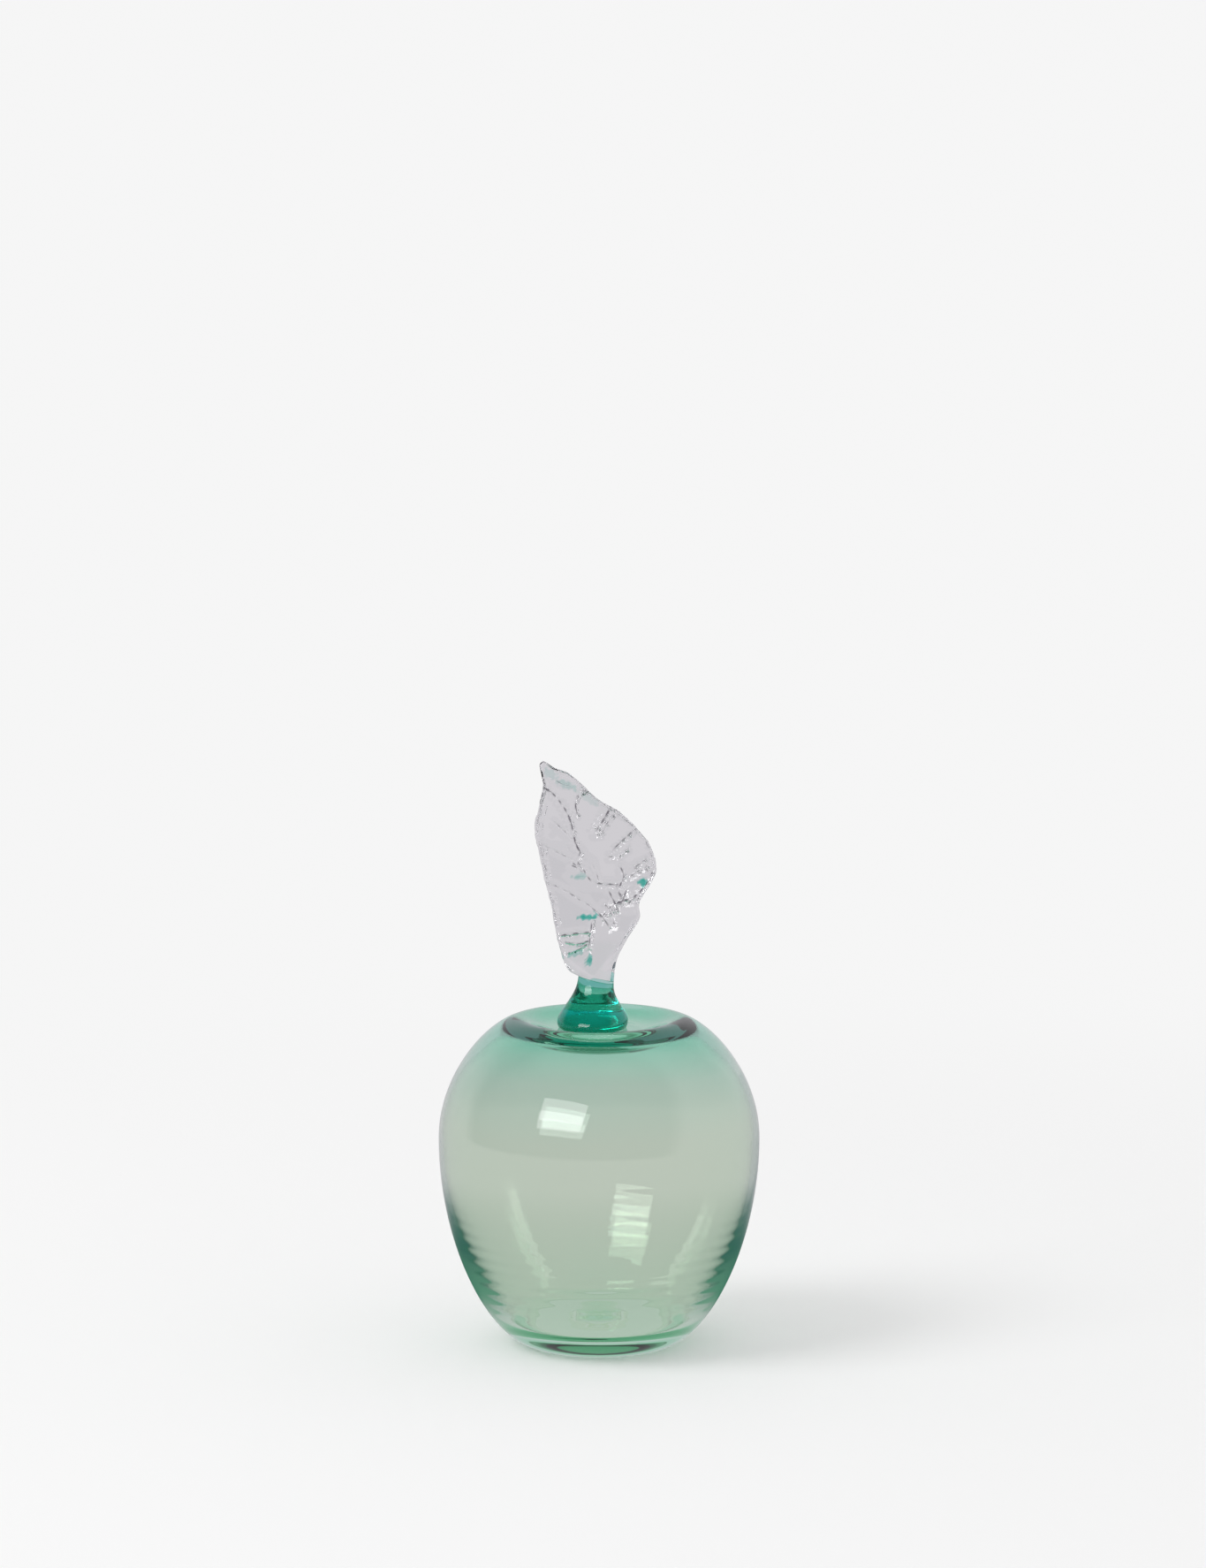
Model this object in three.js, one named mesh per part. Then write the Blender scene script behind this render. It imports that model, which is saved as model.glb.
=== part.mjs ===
// Hollow hand-blown glass apple: blown body, solid stem, pressed leaf and the pontil button under the base.
// Millimetres, +Z up, the front of the apple faces -Y, the base rests on z = 0.
import * as THREE from "three";

// Gap kept between neighbouring bits of glass
const GAP = 0.3;

// Hollow left under the base by the pontil rod, and the button of glass in it
const PONTIL_DEPTH = 2;
const PONTIL_FLOOR_R = 7.2;
const PONTIL_BEVEL = 1.4;
const BUTTON_MARGIN = 0.9;
const BUTTON_THICKNESS = 1.35;
const BUTTON_EDGE_RISE = 0.35;
const BUTTON_ROUND = 1.2;

// Solid stem, its axis leaning from the foot to the neck
const STEM_HEIGHT = 13.1;
const FOOT_R = 9.8;
const FOOT_EDGE = 1.5;
const FOOT_X = -1.8;
const FOOT_FLARE = 3.4;
const NECK_R = 4.9;
const NECK_X = -0.8;
const NECK_FLARE = 5.5;
const NECK_SLANT = -0.24;
const NECK_FLATNESS = 0.66;

// Blown body, outer skin
const BODY_R = 44.5;
const EQUATOR_Z = 57.9;
const BASE_FLAT_R = 18.8;
const BASE_PULL = 10.5;
const FLANK_PULL = 31.6;
const SHOULDER_PULL = 18.2;
const CREST_R = 22.5;
const CREST_Z = 91.3;
const CREST_PULL = 7.5;
const DIMPLE_DEPTH = 2.7;
const DIMPLE_MARGIN = 1.7;
const DIMPLE_PULL = 4;

// Blown body, wall left around the bubble, and the knob that the pontil pushed up in the floor of the bubble
const WALL = 1.4;
const BASE_WALL = 4.6;
const CREST_WALL = 3.4;
const ROOF_WALL = 4.4;
const NECK_HOLE_R = 5;
const BUBBLE_CREST_SHIFT = 2.6;
const BUBBLE_RIM_PULL = 5;
const BUBBLE_CREST_PULL = 4.3;
const BUBBLE_SHOULDER_PULL = 16.2;
const BUBBLE_FLANK_PULL = 21;
const CORNER_REACH = 10;
const CORNER_RISE = 5;
const CORNER_PULL_R = 7.5;
const CORNER_PULL_Z = 11;
const CORNER_EASE = 0.4;
const FLOOR_REACH = 1.2;
const FLOOR_PULL = 4.5;
const KNOB_R = 6.4;
const KNOB_RISE = 2.4;
const PLUG_SETBACK = 0.4;
const PLUG_ROUND = 0.5;

// Pressed leaf: outline, midrib and veins as [share of the width from the stalk, share of the length]
const LEAF_LENGTH = 61;
const LEAF_WIDTH = 33.8;
const LEFT_SHARES = [
  [-0.236, 0.047], [-0.307, 0.154], [-0.372, 0.338], [-0.45, 0.521], [-0.504, 0.689], [-0.475, 0.776],
  [-0.434, 0.878], [-0.441, 0.923], [-0.458, 0.98],
];
const RIGHT_SHARES = [
  [0.167, 0.082], [0.252, 0.184], [0.353, 0.278], [0.357, 0.354], [0.457, 0.446], [0.496, 0.508],
  [0.424, 0.63], [0.217, 0.754], [0.024, 0.822], [-0.078, 0.873], [-0.215, 0.941], [-0.331, 0.967],
  [-0.4, 0.992],
];
const TIP_SHARES = [-0.429, 1];
const MIDRIB_SHARES = [
  [0.039, 0.276], [-0.03, 0.444], [-0.128, 0.577], [-0.217, 0.733], [-0.281, 0.798], [-0.44, 0.882],
];
const VEIN_SHARES = [
  [[-0.006, 0.667], [0.118, 0.787]],
  [[0.139, 0.59], [0.313, 0.684]],
  [[0.103, 0.558], [0.269, 0.598]],
  [[0.039, 0.276], [0.213, 0.355], [0.458, 0.487]],
  [[-0.426, 0.615], [-0.148, 0.511]],
  [[-0.337, 0.716], [-0.166, 0.623]],
  [[-0.402, 0.446], [-0.142, 0.364], [0.039, 0.276]],
  [[-0.301, 0.2], [-0.062, 0.213]],
  [[-0.266, 0.114], [-0.077, 0.159]],
];
const BLADE_THICKNESS = 3.2;
const TIP_THICKNESS = 2;
const LEAF_BOW = 1.8;
const LEAF_CUP = 1.6;
const STALK_SHARE = 0.22;
const TIP_FROM_SHARE = 0.8;
const FORWARD_SHARE = 0.8;
const BLADE_SQUARENESS = 0.5;
const MIDRIB_WIDTH = 1.3;
const MIDRIB_DEPTH = 0.6;
const VEIN_WIDTH = 1.1;
const VEIN_DEPTH = 0.5;
const PRESS_FADE = 4;

// Facets
const BODY_SIDES = 56;
const STEM_SIDES = 40;
const LEAF_SIDES = 44;
const LEAF_RINGS = 52;
const LONG_STEPS = 11;
const SHORT_STEPS = 5;

// Places that follow from the sizes above
const DIMPLE_Z = CREST_Z - DIMPLE_DEPTH;
const DIMPLE_R = FOOT_R + DIMPLE_MARGIN;
const ROOF_Z = DIMPLE_Z - ROOF_WALL;
const BUBBLE_FLOOR_Z = PONTIL_DEPTH + BASE_WALL;
const BUBBLE_R = BODY_R - WALL;
const BUBBLE_CREST_R = CREST_R + BUBBLE_CREST_SHIFT;
const BUBBLE_CREST_Z = CREST_Z - CREST_WALL;
const BUBBLE_FLOOR_R = BASE_FLAT_R + FLOOR_REACH;
const CORNER_R = BASE_FLAT_R + CORNER_REACH;
const CORNER_Z = BUBBLE_FLOOR_Z + CORNER_RISE;
const PLUG_R = NECK_HOLE_R - GAP;
const PLUG_Z = ROOF_Z + PLUG_SETBACK;
const FOOT_Z = DIMPLE_Z + GAP;
const NECK_Z = FOOT_Z + STEM_HEIGHT;
const STALK_Z = NECK_Z + GAP;
const BUTTON_TOP_Z = PONTIL_DEPTH - GAP;
const BUTTON_R = PONTIL_FLOOR_R - BUTTON_MARGIN;

const GLASS_GREEN = new THREE.MeshStandardMaterial({
  name: "glass_green", color: 0xa9cbb4, roughness: 0.04, metalness: 0, transparent: true, opacity: 0.55,
});
const GLASS_TEAL = new THREE.MeshStandardMaterial({
  name: "glass_teal", color: 0x0d9478, roughness: 0.04, metalness: 0, transparent: true, opacity: 0.8,
});
const GLASS_CLEAR = new THREE.MeshStandardMaterial({
  name: "glass_clear", color: 0xe6e8e8, roughness: 0.05, metalness: 0, transparent: true, opacity: 0.4,
});

const { clamp, lerp, smoothstep } = THREE.MathUtils;

// Closed skin through a stack of rings, from one end point to the other
function skin(startPoint, rings, endPoint) {
  const sides = rings[0].length;
  const points = [startPoint, ...rings.flat(), endPoint];
  const last = points.length - 1;
  const at = (k, i) => 1 + k * sides + (i % sides);
  const index = [];
  for (let i = 0; i < sides; i += 1) {
    index.push(0, at(0, i + 1), at(0, i));
    for (let k = 0; k + 1 < rings.length; k += 1) {
      index.push(at(k, i), at(k, i + 1), at(k + 1, i + 1));
      index.push(at(k, i), at(k + 1, i + 1), at(k + 1, i));
    }
    index.push(at(rings.length - 1, i), at(rings.length - 1, i + 1), last);
  }
  const geometry = new THREE.BufferGeometry();
  const flat = points.flatMap((p) => [p.x, p.y, p.z]);
  geometry.setAttribute("position", new THREE.Float32BufferAttribute(flat, 3));
  geometry.setIndex(index);
  geometry.computeVertexNormals();
  return geometry;
}

// Circle of radius r at height z, its plane rising by slant per millimetre of x, pressed flat along y
function circle(r, z, sides, x = 0, slant = 0, flatness = 1) {
  return Array.from({ length: sides }, (_, i) => {
    const turn = (2 * Math.PI * i) / sides;
    const across = r * Math.cos(turn);
    return new THREE.Vector3(x + across, flatness * r * Math.sin(turn), z + slant * across);
  });
}

// Points of a cubic curve in the profile plane, without its first one
function curve(p0, p1, p2, p3, count) {
  const corners = [p0, p1, p2, p3].map((p) => new THREE.Vector2(...p));
  return new THREE.CubicBezierCurve(...corners).getPoints(count).slice(1).map((p) => [p.x, p.y]);
}

// From the pontil hollow over the outer skin to the edge of the neck hole
function outerProfile() {
  const base = [BASE_FLAT_R, 0];
  const equator = [BODY_R, EQUATOR_Z];
  const crest = [CREST_R, CREST_Z];
  const dimple = [DIMPLE_R, DIMPLE_Z];
  return [
    [PONTIL_FLOOR_R, PONTIL_DEPTH],
    [PONTIL_FLOOR_R + PONTIL_BEVEL, 0],
    base,
    ...curve(base, [BASE_FLAT_R + BASE_PULL, 0], [BODY_R, EQUATOR_Z - FLANK_PULL], equator, LONG_STEPS),
    ...curve(equator, [BODY_R, EQUATOR_Z + SHOULDER_PULL], [CREST_R + CREST_PULL, CREST_Z], crest, LONG_STEPS),
    ...curve(crest, [CREST_R - DIMPLE_PULL, CREST_Z], [DIMPLE_R + DIMPLE_PULL, DIMPLE_Z], dimple, SHORT_STEPS),
    [NECK_HOLE_R, DIMPLE_Z],
  ];
}

// From the lower edge of the neck hole round the bubble and over its floor to the top of the knob
function bubbleProfile() {
  const roof = [DIMPLE_R, ROOF_Z];
  const crest = [BUBBLE_CREST_R, BUBBLE_CREST_Z];
  const equator = [BUBBLE_R, EQUATOR_Z];
  const corner = [CORNER_R, CORNER_Z];
  const cornerPull = [CORNER_R + CORNER_PULL_R, CORNER_Z + CORNER_PULL_Z];
  const cornerEase = [CORNER_R - CORNER_EASE * CORNER_PULL_R, CORNER_Z - CORNER_EASE * CORNER_PULL_Z];
  const floor = [BUBBLE_FLOOR_R, BUBBLE_FLOOR_Z];
  const knob = Array.from({ length: SHORT_STEPS }, (_, i) => {
    const turn = (Math.PI / 2) * (i / SHORT_STEPS);
    return [KNOB_R * Math.cos(turn), BUBBLE_FLOOR_Z + KNOB_RISE * Math.sin(turn)];
  });
  return [
    [NECK_HOLE_R, ROOF_Z],
    roof,
    ...curve(roof, [DIMPLE_R + DIMPLE_PULL, ROOF_Z],
      [BUBBLE_CREST_R - BUBBLE_RIM_PULL, BUBBLE_CREST_Z], crest, SHORT_STEPS),
    ...curve(crest, [BUBBLE_CREST_R + BUBBLE_CREST_PULL, BUBBLE_CREST_Z],
      [BUBBLE_R, EQUATOR_Z + BUBBLE_SHOULDER_PULL], equator, LONG_STEPS),
    ...curve(equator, [BUBBLE_R, EQUATOR_Z - BUBBLE_FLANK_PULL], cornerPull, corner, LONG_STEPS),
    ...curve(corner, cornerEase, [BUBBLE_FLOOR_R + FLOOR_PULL, BUBBLE_FLOOR_Z], floor, SHORT_STEPS),
    ...knob,
  ];
}

function bodyGeometry() {
  const rings = [...outerProfile(), ...bubbleProfile()].map(([r, z]) => circle(r, z, BODY_SIDES));
  const knobTop = new THREE.Vector3(0, 0, BUBBLE_FLOOR_Z + KNOB_RISE);
  return skin(new THREE.Vector3(0, 0, PONTIL_DEPTH), rings, knobTop);
}

function buttonGeometry() {
  const lowZ = BUTTON_TOP_Z - BUTTON_THICKNESS;
  const rings = [
    circle(BUTTON_R - BUTTON_ROUND, lowZ, STEM_SIDES),
    circle(BUTTON_R, lowZ + BUTTON_EDGE_RISE, STEM_SIDES),
    circle(BUTTON_R, BUTTON_TOP_Z, STEM_SIDES),
  ];
  return skin(new THREE.Vector3(0, 0, lowZ), rings, new THREE.Vector3(0, 0, BUTTON_TOP_Z));
}

function stemGeometry() {
  const edgeZ = FOOT_Z + FOOT_EDGE;
  const under = [FOOT_R - FOOT_EDGE, FOOT_Z];
  const edge = [FOOT_R, edgeZ];
  const flanks = [
    under,
    ...curve(under, [FOOT_R - FOOT_EDGE / 2, FOOT_Z], [FOOT_R, edgeZ - FOOT_EDGE / 2], edge, SHORT_STEPS),
    ...curve(edge, [FOOT_R, edgeZ + FOOT_FLARE], [NECK_R, NECK_Z - NECK_FLARE], [NECK_R, NECK_Z], LONG_STEPS),
  ];
  const rings = [
    circle(PLUG_R - PLUG_ROUND, PLUG_Z, STEM_SIDES),
    circle(PLUG_R, PLUG_Z + PLUG_ROUND, STEM_SIDES),
    circle(PLUG_R, FOOT_Z, STEM_SIDES),
  ];
  for (const [r, z] of flanks) {
    const rise = clamp((z - edgeZ) / (NECK_Z - edgeZ), 0, 1);
    const flatness = lerp(1, NECK_FLATNESS, rise);
    rings.push(circle(r, z, STEM_SIDES, lerp(FOOT_X, NECK_X, rise), NECK_SLANT * rise * rise, flatness));
  }
  return skin(new THREE.Vector3(0, 0, PLUG_Z), rings, new THREE.Vector3(NECK_X, 0, NECK_Z));
}

// Place on the leaf in millimetres as [x, z]
function onLeaf([across, along]) {
  return [NECK_X + across * LEAF_WIDTH, STALK_Z + along * LEAF_LENGTH];
}

// Smooth path through points given as [x, z], evenly spaced along its length
function edgePath(points) {
  return new THREE.SplineCurve(points.map((p) => new THREE.Vector2(...p))).getSpacedPoints(LEAF_RINGS);
}

// Distance from (x, z) to the polyline through points
function distanceTo(points, x, z) {
  const here = new THREE.Vector3(x, 0, z);
  const near = new THREE.Vector3();
  const corners = points.map((p) => new THREE.Vector3(p[0], 0, p[1]));
  let best = Infinity;
  for (let i = 0; i + 1 < corners.length; i += 1) {
    new THREE.Line3(corners[i], corners[i + 1]).closestPointToPoint(here, true, near);
    best = Math.min(best, near.distanceTo(here));
  }
  return best;
}

// Depth of the pressed midrib and veins at (x, z)
function pressedDepth(midrib, veins, x, z) {
  const rib = MIDRIB_DEPTH * Math.exp(-((distanceTo(midrib, x, z) / MIDRIB_WIDTH) ** 2));
  const veinDistance = Math.min(...veins.map((vein) => distanceTo(vein, x, z)));
  return Math.max(rib, VEIN_DEPTH * Math.exp(-((veinDistance / VEIN_WIDTH) ** 2)));
}

function leafGeometry() {
  const drop = NECK_SLANT * NECK_R;
  const stalkHalf = NECK_R * NECK_FLATNESS;
  const tip = onLeaf(TIP_SHARES);
  const left = edgePath([[NECK_X - NECK_R, STALK_Z - drop], ...LEFT_SHARES.map(onLeaf), tip]);
  const right = edgePath([[NECK_X + NECK_R, STALK_Z + drop], ...RIGHT_SHARES.map(onLeaf), tip]);
  const midrib = MIDRIB_SHARES.map(onLeaf);
  const veins = VEIN_SHARES.map((vein) => vein.map(onLeaf));
  const rings = [];
  for (let k = 0; k < LEAF_RINGS; k += 1) {
    const t = k / LEAF_RINGS;
    const blade = smoothstep(t, 0, STALK_SHARE);
    const squareness = lerp(1, BLADE_SQUARENESS, blade);
    const bladeHalf = lerp(BLADE_THICKNESS / 2, TIP_THICKNESS / 2, smoothstep(t, TIP_FROM_SHARE, 1));
    const half = lerp(stalkHalf, bladeHalf, blade);
    const middle = LEAF_BOW * Math.sin(Math.PI * t) * blade - FORWARD_SHARE * (stalkHalf - half);
    rings.push(Array.from({ length: LEAF_SIDES }, (_, i) => {
      const turn = (2 * Math.PI * i) / LEAF_SIDES;
      const across = Math.sign(Math.cos(turn)) * Math.abs(Math.cos(turn)) ** squareness;
      const through = Math.sign(Math.sin(turn)) * Math.abs(Math.sin(turn)) ** squareness;
      const x = lerp(left[k].x, right[k].x, (1 + across) / 2);
      const z = lerp(left[k].y, right[k].y, (1 + across) / 2);
      const depth = blade * (1 - across ** PRESS_FADE) * pressedDepth(midrib, veins, x, z);
      return new THREE.Vector3(x, middle - LEAF_CUP * blade * across * across + (half - depth) * through, z);
    }));
  }
  const tipY = -FORWARD_SHARE * (stalkHalf - TIP_THICKNESS / 2);
  return skin(new THREE.Vector3(NECK_X, 0, STALK_Z), rings, new THREE.Vector3(tip[0], tipY, tip[1]));
}

function piece(name, geometry, material) {
  const mesh = new THREE.Mesh(geometry, material);
  mesh.name = name;
  return mesh;
}

const apple = new THREE.Group();
apple.name = "apple_paperweight";
apple.add(piece("apple_body", bodyGeometry(), GLASS_GREEN));
apple.add(piece("stem", stemGeometry(), GLASS_TEAL));
apple.add(piece("leaf", leafGeometry(), GLASS_CLEAR));
apple.add(piece("pontil_button", buttonGeometry(), GLASS_GREEN));

export default apple;
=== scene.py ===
import math

import bpy
import numpy as np
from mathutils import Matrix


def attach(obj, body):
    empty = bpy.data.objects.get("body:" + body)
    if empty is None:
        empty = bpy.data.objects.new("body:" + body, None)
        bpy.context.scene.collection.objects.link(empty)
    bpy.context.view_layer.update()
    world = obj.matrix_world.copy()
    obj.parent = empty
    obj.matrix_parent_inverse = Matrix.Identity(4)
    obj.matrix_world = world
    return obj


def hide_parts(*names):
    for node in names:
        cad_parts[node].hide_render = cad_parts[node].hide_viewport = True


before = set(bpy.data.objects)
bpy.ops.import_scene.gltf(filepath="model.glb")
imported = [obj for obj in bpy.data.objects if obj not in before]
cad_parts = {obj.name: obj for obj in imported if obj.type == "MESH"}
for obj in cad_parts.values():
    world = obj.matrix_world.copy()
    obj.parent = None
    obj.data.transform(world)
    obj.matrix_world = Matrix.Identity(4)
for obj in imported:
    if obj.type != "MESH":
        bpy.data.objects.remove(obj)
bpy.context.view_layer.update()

MM = 0.001

# Outer skin of the blown body, in millimetres as in the solid. A pull is the reach of a curve's handle.
BODY_R = 44.5
EQUATOR_Z = 57.9
BASE_FLAT_R = 18.8
BASE_PULL = 10.5
FLANK_PULL = 31.6
SHOULDER_PULL = 18.2
CREST_R = 22.5
CREST_Z = 91.3
CREST_PULL = 7.5
DIMPLE_R = 11.5
DIMPLE_Z = 88.6
DIMPLE_PULL = 4
OUTER_WOBBLE = 0.06
OUTER_WOBBLE_FADE_R = (12, 34)
BODY_SIDES = 160

# Bubble in the body, and the knob that the pontil pushed up in its floor
ROOF_R = 11.5
ROOF_Z = 84.2
ROOF_PULL = 4
BUBBLE_R = 43.1
BUBBLE_CREST_R = 25.1
BUBBLE_CREST_Z = 87.9
BUBBLE_RIM_PULL = 5
BUBBLE_CREST_PULL = 4.3
BUBBLE_SHOULDER_PULL = 16.2
BUBBLE_FLANK_PULL = 21
BUBBLE_CORNER = (28.8, 11.6)
CORNER_PULL_R = 7.5
CORNER_PULL_Z = 11
CORNER_EASE = 0.4
BUBBLE_FLOOR_R = 20.0
BUBBLE_FLOOR_Z = 6.6
FLOOR_PULL = 4.5
FLOOR_RISE = 0.4
FLOOR_DOME_R = (12, 6)
KNOB_RISE = 2.4
KNOB_R = 6.4
KNOB_CRINKLE = 0.4
BUBBLE_OVAL = 0.7
BUBBLE_OVAL_FADE_Z = (76, 86)
WALL_WOBBLE = 0.12
WALL_WOBBLE_FADE_R = (6, 20)
RING_DEPTH = 0.02
RING_PITCH = 3.2
SLOW_RING_PITCH = 7.3
SLOW_RING_SHARE = 0.4
RINGS_BEGIN_Z = (8.5, 14)
RINGS_END_Z = (26, 44)

# Pontil hollow under the base, and the button of glass in it
PONTIL_DEPTH = 2.0
PONTIL_FLOOR_R = 7.2
PONTIL_BEVEL = 1.4
BUTTON_R = 6.3
BUTTON_LOW_Z = 0.35
BUTTON_ROUND = 1.2
BUTTON_ROUND_PULL = 0.8
BUTTON_WALL = 0.6
BUTTON_WALL_PULL = 0.4
BUTTON_SINK = 0.1
SCAR_FUSION = 0.93

# Round pieces: sides, and the radius of the last ring before the middle of an end
ROUND_SIDES = 96
CAP_MIDDLE_R = 0.3
DIMPLE_MIDDLE_R = 0.4
FLOOR_MIDDLE_R = 0.5

# Stem
FOOT_R = 9.8
FOOT_X = -1.8
FOOT_EDGE_Z = 90.3
FOOT_ROUND = 1.2
SOLE_EASE = 0.4
SOLE_LIFT = 0.1
FOOT_EDGE_PULL = 0.9
FOOT_FLARE = 3.4
NECK_R = 4.9
NECK_X = -0.8
NECK_Z = 102.0
NECK_FLARE = 5.5
NECK_SLANT = -0.24
NECK_FLAT = 0.66
NECK_CLARITY = 0.55
NECK_CLARITY_Z = (94.5, 96.5)
SINK = 0.25

# Joints: how far inside a piece's edge, and within what slack in height, faces count as joined
FOOT_JOINT_INSET = 0.9
ROOF_SLACK = 1
BASE_JOINT_INSET = 0.8
HOLLOW_SLACK = 0.1
NECK_SLACK = 0.02
NECK_JOINT_DEPTH = 2

# Leaf: its outline as (share of the width from the stalk, share of the length)
STALK_Z = 102.3
STALK_SINK = 0.15
STALK_INSET = 0.985
LEAF_LENGTH = 61.0
LEAF_WIDTH = 33.8
LEAF_LEFT = [
    (-0.236, 0.047), (-0.307, 0.154), (-0.372, 0.338), (-0.45, 0.521), (-0.504, 0.689), (-0.475, 0.776),
    (-0.434, 0.878), (-0.441, 0.923), (-0.458, 0.98),
]
LEAF_RIGHT = [
    (0.167, 0.082), (0.252, 0.184), (0.353, 0.278), (0.357, 0.354), (0.457, 0.446), (0.496, 0.508),
    (0.424, 0.63), (0.217, 0.754), (0.024, 0.822), (-0.078, 0.873), (-0.215, 0.941), (-0.331, 0.967),
    (-0.4, 0.992),
]
LEAF_TIP = (-0.429, 1.0)
BLADE_THICKNESS = 3.2
TIP_THICKNESS = 2.0
TIP_CLARITY = 0.7
TIP_CLARITY_Z = (154, 159)
RIM = 1.3
WIDEST_HALF = 0.49
BLADE_FROM = 0.22
RIM_FROM = 0.14
TIP_FROM = 0.8
RIGHT_CRINKLE_FROM = (0.25, 0.33)
LEAF_BOW = 1.8
LEAF_CUP = 1.6
LEAF_FORWARD = 0.8
EDGE_CRINKLE = 0.05
RIM_SWELL = 0.06
PILLOW = 0.05
LEAF_RINGS = 380
FACE_POINTS = 170
RIM_POINTS = 16
SPLINE_STEPS = 60

# Creases of the press: points as (across, up) from the stalk in millimetres, width, depth
CREASES = [
    ([(-14.9, 53.8), (-11.9, 51.7), (-9.5, 48.7), (-7.3, 44.7), (-5.6, 37.7), (-4.3, 35.2)], 0.55, 0.65),
    ([(-4.3, 35.2), (-5.1, 32.7), (-3.8, 31), (-1.6, 27.5), (0.8, 26.5), (5.5, 26.2)], 0.5, 0.6),
    ([(-5.3, 46), (-5.6, 49.5), (-4.3, 52), (-2.1, 52.7)], 0.5, 0.6),
    ([(-0.2, 40.7), (2, 44.2), (4, 48)], 0.6, 0.6),
    ([(4.7, 36), (7.2, 38.5), (10.6, 41.7)], 0.5, 0.5),
    ([(3.5, 34), (6.2, 34.5), (9.1, 36.5)], 0.45, 0.4),
    ([(1.3, 16.7), (4.2, 20.2), (7.2, 21.7), (10.1, 22.7), (13.5, 26), (15.5, 29.7)], 0.7, 0.65),
    ([(5.5, 26.5), (6.2, 24.2), (7.2, 22)], 0.5, 0.5),
    ([(10.4, 31), (14, 33.7)], 0.5, 0.45),
    ([(-14.4, 37.5), (-11, 35.5), (-7.3, 33.5), (-5, 31.2)], 0.45, 0.35),
    ([(-11.4, 43.7), (-8.5, 41), (-5.6, 38)], 0.45, 0.35),
    ([(-13.6, 27.2), (-8.5, 24.7), (-4.8, 22.2), (-1.6, 20.2), (1.3, 17.2)], 0.45, 0.4),
    ([(-10.2, 12.2), (-6, 12.7), (-2.1, 13)], 0.5, 0.6),
    ([(-8.5, 10.5), (-4.8, 10), (-2.1, 10.7)], 0.5, 0.55),
    ([(-9, 7), (-4.8, 8.5), (-2.6, 9.7)], 0.5, 0.45),
    ([(-1.2, 16.7), (-1.4, 13.5), (-2.1, 8.5)], 0.5, 0.5),
    ([(-13.4, 56.7), (-10, 54.7), (-7.3, 54)], 0.45, 0.35),
    ([(1.3, 40.1), (3.2, 43.6), (5.2, 47)], 0.4, 0.4),
    ([(-1.6, 41.9), (0.2, 44.8), (1.8, 46.4)], 0.4, 0.35),
    ([(3.5, 24.5), (6, 19.3)], 0.5, 0.6),
    ([(8.6, 25.2), (7, 21.5), (5, 18.7)], 0.5, 0.6),
    ([(2.6, 20.5), (4.2, 18), (5, 15.5)], 0.5, 0.6),
    ([(0.4, 18.6), (2.2, 16.6), (3.5, 14.6)], 0.45, 0.5),
    ([(6.8, 31), (7.6, 28.6), (6.6, 26)], 0.5, 0.6),
    ([(9.6, 28.8), (12.4, 30.6), (15, 32)], 0.45, 0.5),
    ([(-0.8, 31.5), (0.4, 28.5), (1, 26.6)], 0.4, 0.4),
    ([(-6.6, 31.6), (-4.6, 30.5), (-3.2, 29)], 0.45, 0.5),
    ([(-14.6, 49), (-15.6, 44.5), (-16, 41)], 0.4, 0.3),
    ([(-15, 38.5), (-14.3, 33), (-13.4, 28.5)], 0.4, 0.35),
    ([(-12.4, 24.5), (-11.3, 18.5), (-10.6, 15)], 0.4, 0.3),
    ([(-8.6, 4.8), (-7.2, 3.2), (-5.8, 2.6)], 0.4, 0.35),
    ([(13.6, 38.5), (15, 35), (15.4, 32.5)], 0.4, 0.35),
    ([(5.6, 46.2), (8.8, 43.8), (11.4, 41.6)], 0.4, 0.3),
]
CREASE_POINTS = 24
CREASE_REACH = 0.8
CREASE_STRENGTH = 1.5
TROUGH_REACH = 4.5
TROUGH_STRENGTH = 1.2
TROUGH_CRUMPLE = 0.3
FRONT_DEEPEST = 1.6
BACK_SHARE = 0.7
BACK_SHIFT = (0.9, -0.7)
# Painted shade: dark colour laid into the leaf where a crease is deep, standing in for the shade in the
# creases
CREASE_SHADE_COLOUR = (0.1, 0.09, 0.11)
CREASE_SHADE_DEPTH = (0.18, 0.75)

# Teal streaks in the leaf: across and up from the stalk, half width, half height, slope, strength
FLECKS = [
    (12.8, 27, 1.3, 1.2, 0, 1), (-2.4, 17.2, 2.9, 0.7, 0, 1), (-5.6, 7.4, 2.7, 0.8, 0.25, 0.7),
    (-1.9, 5.1, 1.2, 1.1, 0.5, 0.9), (-4.7, 28.3, 2.2, 0.6, 0, 0.5), (-8.2, 54.2, 3.2, 1.3, -0.3, 0.3),
    (-12.6, 57.2, 2.2, 1.5, -0.3, 0.2), (-1.8, 50.2, 2.8, 1.1, -0.6, 0.15),
]
FLECK_COLOUR = (0.08, 0.62, 0.5)
FLECK_EDGE = (0.7, 1.1)

# Optics of the glass. Colours drift a little in height, and a thin film dulls the gloss in places.
GLASS_IOR = 1.5
JOINED_IOR = 1.001
FULL_JOINT = 0.95
COLOUR_DRIFT = 4
DRIFT_SCALE = 28.0
FILM_SCALE = 90.0
FILM_RANGE = (0.45, 0.8)
FILM_ROUGHNESS = 0.004
RIPPLE_SCALE = 60.0
SHOULDER_SHARES = (0.8, 0.9)
FOOT_RING_R = 14.6
FOOT_RING_REACH = 4.7
# Painted shade for light that has turned inside the glass: the colour it leaves in, teal in the stem and near
# clear in the leaf
STEM_TURNED_SHADE = (0.002, 0.4, 0.3)
LEAF_TURNED_COLOUR = (0.9, 0.9, 0.92)

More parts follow.
